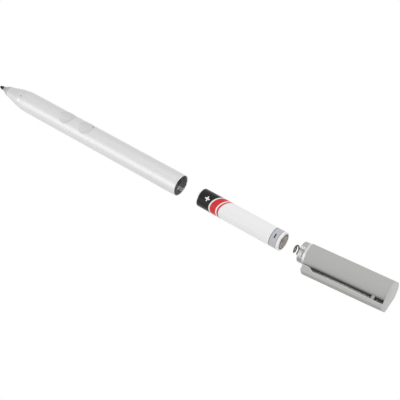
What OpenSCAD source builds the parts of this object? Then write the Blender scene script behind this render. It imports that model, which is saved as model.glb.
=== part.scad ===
// Stylus pen, laid out as it comes apart for a new cell: barrel, cell, and screw cap a little askew.
// The pen lies along X with its tip at low X. X = 0 is the open end of the barrel and Z is up.

/* [Barrel] */
// Outside diameter of the barrel and the cap
barrel_d = 9.6; // [9.4:0.1:10]
// Length of the barrel tube, from the seam of the nose to the open end
barrel_len = 92.5; // [91:0.5:100]
// Bore of the tube where the cell lies
bore_d = 8.6; // [8.56:0.02:8.7]
// Bore of the open end, where the cap's neck screws in
mouth_d = 9.1; // [9:0.02:9.1]
// Bore of the tube's front end, where the nose is glued in
front_bore_d = 7.5; // [7.3:0.1:7.5]

/* [Nose and nib] */
// Length of the nose in front of the seam
nose_len = 10.1; // [9.8:0.1:10.6]
// Radius of the arc that leads from the barrel into the nose
nose_arc = 32; // [30:0.5:34]
// How far behind the seam that arc starts
arc_lead = 5.2; // [4.8:0.1:5.4]
// Slope of the cone that the arc runs into
nose_taper = 14.2; // [13.6:0.1:14.6]
// Length of the collar in front of the nose
collar_len = 1.7; // [1.4:0.1:2]
// Length of nib that stands out of the collar
nib_out = 2.8; // [2:0.1:3]
// Diameter of the nib
nib_d = 1.7; // [1.5:0.1:1.7]
// How far writing pushes the nib in
nib_travel = 0.3; // [0.2:0.05:0.4]

/* [Buttons] */
// Diameter of each round button
button_d = 6.96; // [6.5:0.02:7]
// Gap round a button
button_gap = 0.12; // [0.08:0.01:0.2]
// Distance from the open end to the middle of the rear button
rear_button_at = 53.1; // [53.1:0.1:55]
// Distance between the middles of the two buttons
button_pitch = 11.4; // [11:0.1:12]

/* [Cell] */
// Diameter over the cell's jacket
cell_d = 8.2; // [7.8:0.1:8.2]
// Length of the cell over both ends
cell_len = 42.5; // [41.5:0.1:42.5]
// Distance from the open end to the cell's nub, as laid out
cell_gap = 10.5; // [10:0.1:11]
// How deep the cell's flat end lies in the closed pen
cell_depth = 4.7; // [4.5:0.1:4.7]

/* [Cap] */
// Distance from the open end to the cap's shoulder, as laid out
cap_gap = 63.7; // [63.5:0.1:68]
// Length of the cap from its shoulder to its end
cap_len = 38.6; // [36:0.1:42]
// How far the cap lies askew, as laid out
cap_askew = 5; // [0:0.1:6]
// Length of the threaded neck
neck_len = 2.2; // [2.2:0.1:2.6]
// Diameter over the neck's thread
thread_d = 8.94; // [8.8:0.02:8.94]
// Wire diameter of the contact spring
spring_wire = 0.6; // [0.4:0.05:0.6]

/* [Clip] */
// Direction of the clip round the pen, from +Y towards +Z
clip_angle = 201.2; // [180:0.1:202]
// Width of the clip
clip_w = 4; // [3:0.1:4]
// Thickness of the clip
clip_t = 1.85; // [1.4:0.05:2]
// Distance from the pen's axis to the clip's outer face
clip_out = 8.1; // [7.8:0.1:8.1]

/* [Hidden] */
$fn = 64;
cut = 0.5;
barrel_r = barrel_d / 2;
bore_r = bore_d / 2;
front_bore_r = front_bore_d / 2;
mouth_r = mouth_d / 2;
x_mouth_step = -2.7;
mouth_lead = 0.1;
thread_pitch = 0.75;
thread_depth = 0.1;
thread_turns = 3;

// Nose: the arc from the barrel and its cone, the plug glued into the tube and the hollow inside
x_seam = -barrel_len;
x_arc = x_seam + arc_lead;
x_taper = x_arc - nose_arc * sin(nose_taper);
x_step = x_seam + 6.5;
x_nose = x_seam - nose_len;
x_collar = x_nose - collar_len;
x_tip = x_collar - nib_out;
arc_steps = 16;
seam_chamfer = 0.2;
nose_edge = 0.1;
nose_chamfer = 0.25;
x_plug = x_seam + 4.5;
nose_hollow_r = 3.2;
x_hollow = x_seam - 2.5;
x_throat = x_nose + 1.6;
throat_r = 1.75;

// Collar at the tip
spigot_r = 1.35;
x_spigot = x_nose + 1.5;
collar_groove = 0.15;
collar_tip_r = 1.05;
collar_root_r = 1.62;

// Nib, the rod that carries it and the sensor that the rod presses
nib_r = nib_d / 2;
nib_play = 0.07;
nib_point = [[0, 0], [0.04, 0.22], [0.2, 0.42], [0.8, 0.68], [1.6, nib_r]];
nib_neck_r = 0.6;
x_nib_neck = x_nose + 3.2;
x_nib_end = x_nib_neck + 5.5;
rod_r = 1.2;
x_bush = x_seam - 2.1;
x_bush_end = x_bush + 1.4;
x_flange = x_bush_end + 0.1;
flange_t = 0.5;
flange_r = 1.9;
x_sensor = x_flange + flange_t + 3.7;
sensor_r = 3.0;
x_sensor_end = x_sensor + 4.4;
dimple_r = 1.1;
dimple_depth = 0.7;
rod_end_r = 0.9;
x_rod_step = x_sensor - 0.3;
x_rod_end = x_sensor + dimple_depth - nib_travel - 0.1;
nib_wire_r = 0.15;
nib_coil_r = 1.55;
nib_turns = 4.5;
touch = 0.03;

// Buttons, their stems and the switches under them
x_rear_button = -rear_button_at;
x_front_button = x_rear_button - button_pitch;
button_r = button_d / 2;
button_in_r = 3.5;
button_skirt_z = 2.55;
button_lip = [8.2, 4.8];
button_lip_gap = 0.1;
stem_r = 0.9;
stem_z = 2.2;
stem_root = 0.2;
switch_size = [3.6, 3.2, 1.3];
plunger_r = 0.7;
plunger_z = 1.55;
plunger_play = 0.15;
plunger_hole_z = 1.2;

// Stop and contact at the bottom of the bay that the cell lies in
x_contact = -cell_depth - cell_len - 0.2;
contact_t = 0.3;
contact_r = 2.0;
contact_stem_r = 1.15;
contact_tail = 0.8;
x_stop_end = x_contact - contact_t;
x_stop = x_stop_end - 1.2;
stop_r = bore_r - 0.05;
lead_w = 1.6;
lead_lap = 1;
lead_gap = 0.2;

// Tray and circuit board
tray_r = bore_r - 0.05;
tray_in_r = 3.1;
tray_wall = [0.1, 0.9];
x_tray = x_step + 0.1;
x_tray_end = x_stop - 0.1;
board_z = -0.3;
board_t = 0.8;
board_top = board_z + board_t;
board_w = 6.8;
x_board = x_sensor_end + 1.5;
x_board_end = x_rear_button + 3.1;
screw_xs = [x_front_button - 13.5, (x_front_button + x_rear_button) / 2];
screw_r = 0.5;
screw_head_r = 0.95;
screw_head_t = 0.5;
screw_depth = 2.1;
boss_r = 1.0;
boss_z = -tray_in_r - 0.4;
screw_play = 0.1;
flex_w = 3;
flex_lap = 2.5;
chip_x = x_front_button - 9;
chip_size = [4, 4, 0.8];
crystal_at = [x_front_button - 4.5, -1.6];
crystal_size = [2.5, 2, 0.7];
small_part = [1, 0.5, 0.5];
small_part_at = [x_board + 1.2, 2.7];
small_part_pitch = 1.7;
small_part_rows = 5;
tab_t = 0.15;
tab_x = [x_front_button - 7.5, x_front_button - 5.5];
tab_y = [2.3, 3.3, 3.55];
tab_top = 2.3;

// Cell
cell_r = cell_d / 2;
can_r = cell_r - 0.1;
can_in_r = can_r - 0.25;
nub_r = 1.8;
nub_edge = 0.25;
shoulder_edge = 0.4;
x_shoulder = cell_gap + 0.55;
x_cell_end = cell_gap + cell_len;
x_crimp = x_cell_end - 0.1;
crimp_t = 0.25;
crimp_r = can_r - 0.6;
crimp_edge = 0.15;
jacket_inset = 0.2;
seal_inset = 0.05;
x_filling_end = x_crimp - 0.85;
base_r = 3.0;
base_edge = 0.3;
base_bevel = 0.2;

// Cap: threaded neck, contact and shell
x_cap = cap_gap;
x_cap_end = x_cap + cap_len;
x_neck = x_cap - neck_len;
x_swing = x_neck - 1;
neck_r = 4.25;
thread_r = thread_d / 2;
thread_first = 0.35;
thread_base = 0.5;
thread_crest = 0.2;
x_shell = x_cap + 1.3;
shoulder_face_r = barrel_r - 0.3;
shoulder_bevel = 1.1;
shell_in_r = 4.05;
x_neck_plug = x_shell + 5.3;
neck_hole_r = 2.0;
x_retainer_end = x_neck + 0.7;
retainer_r = 3.4;
retainer_in_r = 2.7;
chamber_r = 3.1;
x_chamber_end = x_neck + 1.5;
x_plate = x_neck + 0.85;
plate_t = 0.5;
plate_r = 2.95;
spring_r = spring_wire / 2;
spring_front_r = 1.45;
spring_back_r = 2.0;
spring_turns = 2.25;
spring_flat_turns = 0.75;
x_spring = x_neck - 2.95;
x_spring_end = x_plate - spring_r - touch;
end_t = 1.5;
x_shell_end = x_cap_end - end_t;
x_end_plug = x_shell_end - 3.4;
end_plug_in_r = 3.0;

// Clip
clip_in = clip_out - clip_t;
clip_corner = 0.9;
post_x = [x_cap_end - 6.85, x_cap_end - 5.65];
clip_split = 0.15;
x_clip_root = post_x[0] - 0.1;
x_clip_end = x_clip_root - clip_split;
x_clip = x_cap + 1.4;
bump_x = [x_clip + 3.4, x_clip + 4.7];
bump_in = barrel_r + 0.25;
bump_edge = 0.3;

// Radius of the nose at x: an arc that leaves the barrel without an edge, then a cone that goes on from it
function nose_r(x) = x > x_taper
    ? barrel_r - nose_arc + sqrt(nose_arc * nose_arc - (x - x_arc) * (x - x_arc))
    : barrel_r - nose_arc * (1 - cos(nose_taper)) - (x_taper - x) * tan(nose_taper);

// Points of that line from x0 to x1
function nose_points(x0, x1) = [
    for (i = [0 : arc_steps]) let (x = x0 + (x1 - x0) * i / arc_steps) [x, nose_r(x)]
];

// Points of a round corner about a centre, from angle a0 to angle a1
function corner(centre, r, a0, a1, steps = 6) = [
    for (i = [0 : steps]) let (a = a0 + (a1 - a0) * i / steps) centre + r * [cos(a), sin(a)]
];

// A round bar along X
module bar(x0, x1, r) {
    translate([x0, 0, 0]) rotate([0, 90, 0]) cylinder(h = x1 - x0, r = r);
}

// A ring along X
module ring(x0, x1, r_out, r_in) {
    difference() {
        bar(x0, x1, r_out);
        bar(x0 - cut, x1 + cut, r_in);
    }
}

// A part turned about X from a profile of [x, radius] points
module turned(profile) {
    rotate([0, 90, 0]) rotate_extrude() polygon([for (p = profile) [p[1], p[0]]]);
}

// A block between two corners
module block(low, high) {
    translate(low) cube(high - low);
}

// A block that stands on the circuit board, with its middle at x and y
module on_board(x, y, size) {
    translate([x - size[0] / 2, y - size[1] / 2, board_top]) cube(size);
}

// What belongs to the cap, swung about a point inside its contact spring
module askew() {
    translate([x_swing, 0, 0]) rotate([0, 0, cap_askew]) translate([-x_swing, 0, 0]) children();
}

// What faces the clip, drawn with the clip straight up
module at_clip() {
    rotate([clip_angle - 90, 0, 0]) children();
}

// An outline of [x, height] points, carried across the clip's width
module clip_outline(points) {
    at_clip() translate([0, clip_w / 2, 0]) rotate([90, 0, 0]) linear_extrude(clip_w) polygon(points);
}

// A coil of round wire along X, whose radius goes from r0 to r1 and whose first turns may lie flat
module coil(x0, x1, r0, r1, turns, wire_r, flat_turns = 0) {
    sides = 8;
    turn_steps = 18;
    last = round(turns * turn_steps);
    rise = x1 - x0;
    flat_rise = flat_turns > 0 ? wire_r : 0;
    points = [
        for (i = [0 : last])
            let (u = i / turn_steps, a = 360 * u, r = r0 + (r1 - r0) * u / turns)
            let (climb = (u - flat_turns) / (turns - flat_turns))
            let (x = u < flat_turns ? flat_rise * u / flat_turns : flat_rise + (rise - flat_rise) * climb)
            for (j = [0 : sides - 1])
                let (b = 360 * j / sides, w = r + wire_r * cos(b))
                [x0 + x + wire_r * sin(b), w * cos(a), w * sin(a)]
    ];
    skin = [
        for (i = [0 : last - 1], j = [0 : sides - 1])
            let (k = (j + 1) % sides)
            [i * sides + j, i * sides + k, (i + 1) * sides + k, (i + 1) * sides + j]
    ];
    first_end = [for (j = [0 : sides - 1]) sides - 1 - j];
    last_end = [for (j = [0 : sides - 1]) last * sides + j];
    polyhedron(points, concat([first_end], skin, [last_end]));
}

module barrel_tube() color("gainsboro") difference() {
    turned(concat(
        [[0, barrel_r]],
        nose_points(x_arc, x_seam + seam_chamfer),
        [
            [x_seam, nose_r(x_seam) - seam_chamfer], [x_seam, front_bore_r], [x_step, front_bore_r],
            [x_step, bore_r], [x_mouth_step, bore_r], [x_mouth_step, mouth_r], [-mouth_lead, mouth_r],
            [0, mouth_r + mouth_lead]
        ]
    ));
    for (i = [1 : thread_turns]) {
        x = -i * thread_pitch;
        ring_r = mouth_r + thread_depth;
        turned([
            [x - thread_base / 2, mouth_r - cut], [x - thread_base / 2, mouth_r],
            [x - thread_crest / 2, ring_r], [x + thread_crest / 2, ring_r],
            [x + thread_base / 2, mouth_r], [x + thread_base / 2, mouth_r - cut]
        ]);
    }
    for (x = [x_front_button, x_rear_button])
        translate([x, 0, 0]) cylinder(h = barrel_d, r = button_r + button_gap);
}

module nose_cone() color("gainsboro") turned(concat(
    [
        [x_plug, front_bore_r], [x_seam, front_bore_r], [x_seam, nose_r(x_seam) - seam_chamfer - nose_edge]
    ],
    nose_points(x_seam - nose_edge, x_nose + nose_chamfer),
    [
        [x_nose, nose_r(x_nose) - nose_chamfer], [x_nose, spigot_r], [x_throat, spigot_r],
        [x_throat, throat_r], [x_hollow, nose_hollow_r], [x_plug, nose_hollow_r]
    ]
));

module tip_collar() color("lightgray") turned([
    [x_collar, nib_r + nib_play], [x_collar, collar_tip_r], [x_nose - collar_groove, collar_root_r],
    [x_nose - collar_groove, spigot_r], [x_spigot, spigot_r], [x_spigot, nib_r + nib_play]
]);

module guide_bush() color("ivory") ring(x_bush, x_bush_end, nose_hollow_r, rod_r + nib_play);

module nib_spring() color("silver") coil(
    x_flange + flange_t + nib_wire_r + touch, x_sensor - nib_wire_r - touch,
    nib_coil_r, nib_coil_r, nib_turns, nib_wire_r
);

module pressure_sensor() color("dimgray") difference() {
    bar(x_sensor, x_sensor_end, sensor_r);
    bar(x_sensor - cut, x_sensor + dimple_depth, dimple_r);
}

module sensor_flex() color("darkorange") block(
    [x_sensor_end, -flex_w / 2, board_top], [x_board + flex_lap, flex_w / 2, board_top + tab_t]
);

module inner_tray() color("whitesmoke") difference() {
    union() {
        intersection() {
            ring(x_tray, x_tray_end, tray_r, tray_in_r);
            block([x_tray, -barrel_r, -barrel_r], [x_tray_end, barrel_r, board_z]);
        }
        intersection() {
            bar(x_sensor_end + tray_wall[0], x_sensor_end + tray_wall[1], tray_r - cut);
            block([x_tray, -barrel_r, -barrel_r], [x_tray_end, barrel_r, board_z]);
        }
        for (x = screw_xs)
            translate([x, 0, boss_z]) cylinder(h = board_z - boss_z, r = boss_r);
    }
    for (x = screw_xs)
        translate([x, 0, board_top - screw_depth - board_t]) cylinder(h = barrel_r, r = screw_r);
}

module circuit_board() color("seagreen") difference() {
    block([x_board, -board_w / 2, board_z], [x_board_end, board_w / 2, board_top]);
    for (x = screw_xs)
        translate([x, 0, board_z - cut]) cylinder(h = board_t + 2 * cut, r = screw_r + screw_play);
}

module board_screws() color("silver") for (x = screw_xs) translate([x, 0, board_top]) {
    cylinder(h = screw_head_t, r = screw_head_r);
    translate([0, 0, -screw_depth]) cylinder(h = screw_depth, r = screw_r);
}

module control_chip() color("black") on_board(chip_x, 0, chip_size);

module board_parts() color("tan") {
    on_board(crystal_at[0], crystal_at[1], crystal_size);
    for (i = [0 : small_part_rows - 1], side = [-1, 1])
        on_board(small_part_at[0] + i * small_part_pitch, side * small_part_at[1], small_part);
}

module switch_body(x) difference() {
    on_board(x, 0, switch_size);
    translate([x, 0, plunger_hole_z]) cylinder(h = barrel_r, r = plunger_r + plunger_play);
}

module front_switch() color("gray") switch_body(x_front_button);

module rear_switch() color("gray") switch_body(x_rear_button);

module ground_contact() color("goldenrod") {
    block([tab_x[0], tab_y[0], board_top], [tab_x[1], tab_y[1], board_top + tab_t]);
    block([tab_x[0], tab_y[1] - tab_t, board_top], [tab_x[1], tab_y[1], tab_top]);
    block([tab_x[0], tab_y[1] - tab_t, tab_top - tab_t], [tab_x[1], tab_y[2], tab_top]);
}

module contact_insulator() color("white") ring(x_stop, x_stop_end, stop_r, contact_stem_r);

module positive_contact() color("goldenrod") {
    bar(x_stop_end, x_contact, contact_r);
    bar(x_stop - contact_tail, x_stop_end, contact_stem_r);
    block(
        [x_board_end - lead_lap, -lead_w / 2, board_top],
        [x_stop - lead_gap, lead_w / 2, board_top + tab_t]
    );
}

module nib() color("black") turned(concat(
    [for (p = nib_point) [x_tip + p[0], p[1]]],
    [[x_nib_neck, nib_r], [x_nib_neck, nib_neck_r], [x_nib_end, nib_neck_r], [x_nib_end, 0]]
));

module nib_holder() color("gray") turned([
    [x_nib_neck, nib_neck_r], [x_nib_neck, rod_r], [x_flange, rod_r], [x_flange, flange_r],
    [x_flange + flange_t, flange_r], [x_flange + flange_t, rod_r], [x_rod_step, rod_r],
    [x_rod_step, rod_end_r], [x_rod_end, rod_end_r], [x_rod_end, 0], [x_nib_end, 0],
    [x_nib_end, nib_neck_r]
]);

// A button follows the barrel's outside, and a lip inside the wall keeps it from falling out
module button(x) translate([x, 0, 0]) {
    half = button_lip[0] / 2;
    difference() {
        union() {
            intersection() {
                bar(-half, half, barrel_r);
                translate([0, 0, button_skirt_z]) cylinder(h = barrel_r, r = button_r);
            }
            intersection() {
                bar(-half, half, bore_r - button_lip_gap);
                block([-half, -button_lip[1] / 2, button_skirt_z], [half, button_lip[1] / 2, barrel_r]);
            }
        }
        bar(-half - cut, half + cut, button_in_r);
    }
    translate([0, 0, stem_z]) cylinder(h = button_in_r + stem_root - stem_z, r = stem_r);
}

module front_button() color("gainsboro") button(x_front_button);

module rear_button() color("gainsboro") button(x_rear_button);

module plunger(x) translate([x, 0, plunger_z]) cylinder(h = stem_z - plunger_z, r = plunger_r);

module front_plunger() color("black") plunger(x_front_button);

module rear_plunger() color("black") plunger(x_rear_button);

module battery_can() color("silver") turned([
    [cell_gap, 0], [cell_gap, nub_r - nub_edge], [cell_gap + nub_edge, nub_r], [x_shoulder, nub_r],
    [x_shoulder, can_r - shoulder_edge], [x_shoulder + shoulder_edge, can_r],
    [x_crimp - crimp_edge, can_r], [x_crimp, can_r - crimp_edge], [x_crimp, crimp_r],
    [x_crimp - crimp_t, crimp_r], [x_crimp - crimp_t, can_in_r], [x_shoulder + crimp_t, can_in_r],
    [x_shoulder + crimp_t, 0]
]);

module cell_filling() color("darkslategray") bar(x_shoulder + crimp_t, x_filling_end, can_in_r);

module battery_jacket() color("firebrick") ring(
    x_shoulder + shoulder_edge, x_crimp - jacket_inset, cell_r, can_r
);

module battery_seal() color("dimgray") turned([
    [x_filling_end, base_r], [x_crimp - seal_inset, base_r], [x_crimp - seal_inset, crimp_r],
    [x_crimp - crimp_t, crimp_r], [x_crimp - crimp_t, can_in_r], [x_filling_end, can_in_r]
]);

module battery_base() color("silver") turned([
    [x_filling_end, 0], [x_cell_end, 0], [x_cell_end, base_r - base_edge],
    [x_cell_end - base_bevel, base_r], [x_filling_end, base_r]
]);

// The contact spring is wound left-handed
module contact_spring() color("slategray") askew() mirror([0, 1, 0]) coil(
    x_spring, x_spring_end, spring_front_r, spring_back_r, spring_turns, spring_r, spring_flat_turns
);

module contact_plate() color("goldenrod") askew() bar(x_plate, x_plate + plate_t, plate_r);

// The thread is drawn as rings, which pass freely through the barrel's open end
module cap_neck() color("silver") askew() turned(concat(
    [[x_retainer_end, retainer_r], [x_neck, retainer_r], [x_neck, neck_r]],
    [
        for (i = [0 : thread_turns - 1])
            let (x = x_neck + thread_first + i * thread_pitch)
            each [
                [x - thread_base / 2, neck_r], [x - thread_crest / 2, thread_r],
                [x + thread_crest / 2, thread_r], [x + thread_base / 2, neck_r]
            ]
    ],
    [
        [x_cap, neck_r], [x_cap, shoulder_face_r], [x_cap + shoulder_bevel, barrel_r],
        [x_shell, barrel_r], [x_shell, shell_in_r], [x_neck_plug, shell_in_r],
        [x_neck_plug, neck_hole_r], [x_chamber_end, neck_hole_r], [x_chamber_end, chamber_r],
        [x_retainer_end, chamber_r]
    ]
));

module contact_retainer() color("gray") askew() ring(x_neck, x_retainer_end, retainer_r, retainer_in_r);

module cap_shell() color("darkgray") askew() ring(x_shell, x_shell_end, barrel_r, shell_in_r);

// The end plate carries the root of the clip and a post that props the clip off the cap
module end_plate() color("darkgray") askew() {
    tip_centre = [clip_w / 2 - clip_corner, clip_out - clip_corner];
    lean = atan2(tip_centre[1], tip_centre[0]) - acos((barrel_r - clip_corner) / norm(tip_centre));
    at_clip() translate([x_shell_end, 0, 0]) rotate([90, 0, 90]) linear_extrude(end_t) polygon(concat(
        corner(tip_centre, clip_corner, lean, 90),
        corner([-tip_centre[0], tip_centre[1]], clip_corner, 90, 180 - lean),
        corner([0, 0], barrel_r, 180 - lean, 360 + lean, 60)
    ));
    ring(x_end_plug, x_shell_end + end_t / 2, shell_in_r, end_plug_in_r);
    clip_outline([
        [x_clip_root, clip_in], [x_clip_root, clip_out], [x_shell_end + end_t / 2, clip_out],
        [x_shell_end + end_t / 2, clip_in]
    ]);
    difference() {
        clip_outline([
            [post_x[0], barrel_r - cut], [post_x[0], clip_in], [post_x[1], clip_in],
            [post_x[1], barrel_r - cut]
        ]);
        bar(post_x[0] - cut, post_x[1] + cut, barrel_r);
    }
}

module clip_bar() color("darkgray") askew() clip_outline(concat(
    [[x_clip + bump_edge, bump_in], [x_clip, bump_in + bump_edge]],
    corner([x_clip + clip_corner, clip_out - clip_corner], clip_corner, 180, 90),
    [[x_clip_end, clip_out], [x_clip_end, clip_in], [bump_x[1], clip_in], [bump_x[0], bump_in]]
));

barrel_tube();
nose_cone();
tip_collar();
guide_bush();
nib_spring();
pressure_sensor();
sensor_flex();
inner_tray();
circuit_board();
board_screws();
control_chip();
board_parts();
front_switch();
rear_switch();
ground_contact();
contact_insulator();
positive_contact();
nib();
nib_holder();
front_button();
front_plunger();
rear_button();
rear_plunger();
battery_can();
cell_filling();
battery_jacket();
battery_seal();
battery_base();
contact_spring();
contact_plate();
cap_neck();
contact_retainer();
cap_shell();
end_plate();
clip_bar();
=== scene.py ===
import bmesh
import bpy
import numpy as np
from mathutils import Matrix


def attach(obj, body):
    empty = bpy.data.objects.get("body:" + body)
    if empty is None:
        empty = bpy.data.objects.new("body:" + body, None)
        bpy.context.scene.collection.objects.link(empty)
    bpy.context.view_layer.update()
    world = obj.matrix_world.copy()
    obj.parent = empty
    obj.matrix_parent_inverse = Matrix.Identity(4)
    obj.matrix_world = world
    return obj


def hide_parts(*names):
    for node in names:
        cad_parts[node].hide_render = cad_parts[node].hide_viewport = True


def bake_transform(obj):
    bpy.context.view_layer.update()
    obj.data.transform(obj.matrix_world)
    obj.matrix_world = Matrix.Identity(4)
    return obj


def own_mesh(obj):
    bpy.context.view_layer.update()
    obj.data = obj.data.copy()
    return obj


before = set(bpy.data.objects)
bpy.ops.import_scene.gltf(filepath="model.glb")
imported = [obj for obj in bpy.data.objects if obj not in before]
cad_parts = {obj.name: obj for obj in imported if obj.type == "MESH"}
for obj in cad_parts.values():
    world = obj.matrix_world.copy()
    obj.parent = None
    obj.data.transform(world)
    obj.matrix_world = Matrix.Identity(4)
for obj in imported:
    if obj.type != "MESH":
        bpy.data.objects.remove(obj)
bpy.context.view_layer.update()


# Barrel tube. The pen's body is a drawn aluminium tube, blasted and anodised silver, with two round holes for
# the buttons, a fine thread cut in its open end, a bore with a painted highlight in a strip along it, and a polished
# band at the nose with a punch mark in it, whose hollow is painted near black as painted shade. Lengths are in
# millimetres.
MM = 0.001
tube_r, bore_r, front_bore_r, mouth_r = 4.8, 4.3, 3.75, 4.55
seam_x, nose_arc_x, nose_arc, nose_taper = -92.5, -87.3, 32.0, np.radians(14.2)
taper_x = nose_arc_x - nose_arc * np.sin(nose_taper)
bore_step_x, mouth_step_x, mouth_lead, lead_len = -86.0, -2.7, 0.13, 0.2
button_xs, hole_r, hole_edge = (-64.5, -53.1), 3.52, 0.03
thread_pitch, thread_depth = 0.75, 0.03
patch_half, patch_cells, hole_cells = 4.2, 28, 24
mark_x, mark_angle, mark_r, mark_depth = -91.57, np.radians(117.5), 0.45, 0.15


def nose_r(x):
    """Radius of the nose at x: the barrel's radius less the fall of a circle that leaves it tangent at nose_arc_x.
    In front of taper_x a cone goes on along the circle's tangent."""
    on_arc = tube_r - nose_arc + np.sqrt(nose_arc ** 2 - np.clip(nose_arc_x - x, 0, nose_arc_x - taper_x) ** 2)
    return on_arc - np.maximum(taper_x - x, 0) * np.tan(nose_taper)


def ramp(x, low, high):
    """0 below low, 1 above high, with a smooth rise 3t^2 - 2t^3 between them."""
    t = np.clip((x - low) / (high - low), 0, 1)
    return t * t * (3 - 2 * t)


def between(x, span, ease):
    """1 inside a span, easing smoothly to 0 within ease inside each end."""
    return ramp(x, span[0], span[0] + ease) * ramp(-x, -span[1], -span[1] + ease)


def thread_form(x, angle, base=0.5, crest=0.2):
    """Share of a thread's full height, 0 to 1, at x and angle: a trapezium with eased flanks, repeated every pitch
    along the axis and moved on by one pitch for each turn, as on a right-hand screw."""
    along = (x / thread_pitch - angle / (2 * np.pi)) % 1.0
    return ramp(-np.abs(along - 0.5) * thread_pitch, -base / 2, -crest / 2)


def grid_faces(rows, columns, row_loop=False):
    """Corner numbers of a grid's four-sided faces, as an array of rows x columns x 4. The columns close round, and
    a row loop joins the last row to the first."""
    i = np.arange(rows if row_loop else rows - 1)[:, None]
    j = np.arange(columns)[None, :]
    k, m = (i + 1) % rows, (j + 1) % columns
    corners = (i * columns + j, i * columns + m, k * columns + m, k * columns + j)
    return np.stack(np.broadcast_arrays(*corners), axis=-1)


def join(*shells):
    """Several (points, faces) shells as one: the points end to end, with each shell's corner numbers moved on."""
    points = [np.asarray(p, float).reshape(-1, 3) for p, _ in shells]
    starts = np.cumsum([0] + [len(p) for p in points[:-1]])
    return np.vstack(points), np.vstack([f.reshape(-1, 4) + s for (_, f), s in zip(shells, starts)])


def make_piece(name, skin, materials, body, slot, solid, which=None, sharp=32):
    """A mesh object from a skin of points in millimetres and faces: doubles merged so that poles and seams close,
    normals turned outwards, smooth shading broken at edges sharper than the given angle in degrees. It rides on its
    body, where one is given, and stands for its solid, which it hides. Its slot is not used."""
    points, faces = skin
    used, faces = np.unique(np.asarray(faces).reshape(-1, 4), return_inverse=True)
    mesh = bpy.data.meshes.new(name)
    mesh.from_pydata((np.asarray(points).reshape(-1, 3)[used] * MM).tolist(), [], faces.reshape(-1, 4).tolist())
    for material in materials:
        mesh.materials.append(material)
    if which is not None:
        mesh.polygons.foreach_set("material_index", np.asarray(which, np.int32).ravel())
    work = bmesh.new()
    work.from_mesh(mesh)
    bmesh.ops.remove_doubles(work, verts=work.verts, dist=1.5e-6)
    bmesh.ops.recalc_face_normals(work, faces=work.faces)
    work.to_mesh(mesh)
    work.free()
    mesh.shade_smooth()
    mesh.set_sharp_from_angle(angle=np.radians(sharp))
    piece = bpy.data.objects.new(name, mesh)
    bpy.context.scene.collection.objects.link(piece)
    if body:
        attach(piece, body)
    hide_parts(solid)
    return piece


def node(material, kind, inputs=None, **settings):
    """One shader node with its settings and inputs; an input that is a socket is linked, any other is set."""
    tree = material.node_tree
    made = tree.nodes.new("ShaderNode" + kind)
    for key, value in settings.items():
        setattr(made, key, value)
    for key, value in (inputs or {}).items():
        if isinstance(value, bpy.types.NodeSocket):
            tree.links.new(value, made.inputs[key])
        else:
            made.inputs[key].default_value = value
    return made


def surface(material):
    """The inputs of a material's surface shader."""
    return material.node_tree.nodes["Principled BSDF"].inputs


def drive(material, channel, source):
    """Links a socket to one input of a material's surface shader."""
    material.node_tree.links.new(source, surface(material)[channel])


def colour_ramp(material, factor, stops, interpolation="LINEAR"):
    """A ramp of (place, colour) stops read at a factor."""
    made = node(material, "ValToRGB", {"Fac": factor})
    made.color_ramp.interpolation = interpolation
    for i, (place, colour) in enumerate(stops):
        stop = made.color_ramp.elements[i] if i < 2 else made.color_ramp.elements.new(place)
        stop.position, stop.color = place, (*colour, 1)
    return made.outputs["Color"]


def spread(material, value, source, target=(0.0, 1.0), smooth=False):
    """A value carried from one range to another and held at its ends, evenly or with a smooth rise."""
    return node(material, "MapRange", {
        "Value": value, "From Min": source[0], "From Max": source[1], "To Min": target[0], "To Max": target[1]
    }, interpolation_type="SMOOTHSTEP" if smooth else "LINEAR").outputs["Result"]


def worked(
    name, dark, light, rough, grain, relief, along=1, across=1, upright=1, turned_by=0.0, metal=0.0, specular=0.5
):
    """A worked surface. A noise in Object coordinates, whose grains are grain millimetres long before they are
    stretched along or across the pen or upright, moves the colour between two levels and the roughness between two
    others, and a noise of a third of the grain raises the surface by relief millimetres. The pattern is turned about
    the upright by an angle."""
    material = bpy.data.materials.new(name)
    material.use_nodes = True
    place = node(material, "TexCoord").outputs["Object"]
    place = node(material, "Mapping", {"Vector": place, "Rotation": (0, 0, turned_by)}).outputs["Vector"]
    scale = [1 / (grain * MM * s) for s in (along, across, across * upright)]
    place = node(material, "Mapping", {"Vector": place, "Scale": scale}).outputs["Vector"]
    coarse = node(material, "TexNoise", {"Vector": place, "Scale": 1.0, "Detail": 3.0}).outputs["Fac"]
    fine = node(material, "TexNoise", {"Vector": place, "Scale": 3.0, "Detail": 2.0}).outputs["Fac"]
    noise_span = 0.3, 0.7
    drive(material, "Base Color", colour_ramp(material, coarse, zip(noise_span, (dark, light))))
    drive(material, "Roughness", spread(material, fine, noise_span, rough))
    bump = node(material, "Bump", {"Height": fine, "Distance": relief * MM, "Strength": 1.0})
    drive(material, "Normal", bump.outputs["Normal"])
    surface(material)["Metallic"].default_value = metal
    surface(material)["Specular IOR Level"].default_value = specular
    return material


def maths(material, operation, a, b=0.0, c=0.0):
    """One arithmetic step of a material."""
    return node(material, "Math", {0: a, 1: b, 2: c}, operation=operation).outputs["Value"]


def over(material, factor, under, mark):
    """One colour laid over another by a factor from 0 to 1; the numbers are the mixing node's colour sockets."""
    return node(material, "Mix", {0: factor, 6: under, 7: mark}, data_type="RGBA").outputs[2]


def lay(material, share, colour):
    """Lays a colour over the surface's own by a share from 0 to 1; here it lays only painted highlights and painted
    shade.
    """
    plain = surface(material)["Base Color"].links[0].from_socket
    drive(material, "Base Color", over(material, share, plain, (*colour, 1)))


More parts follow.
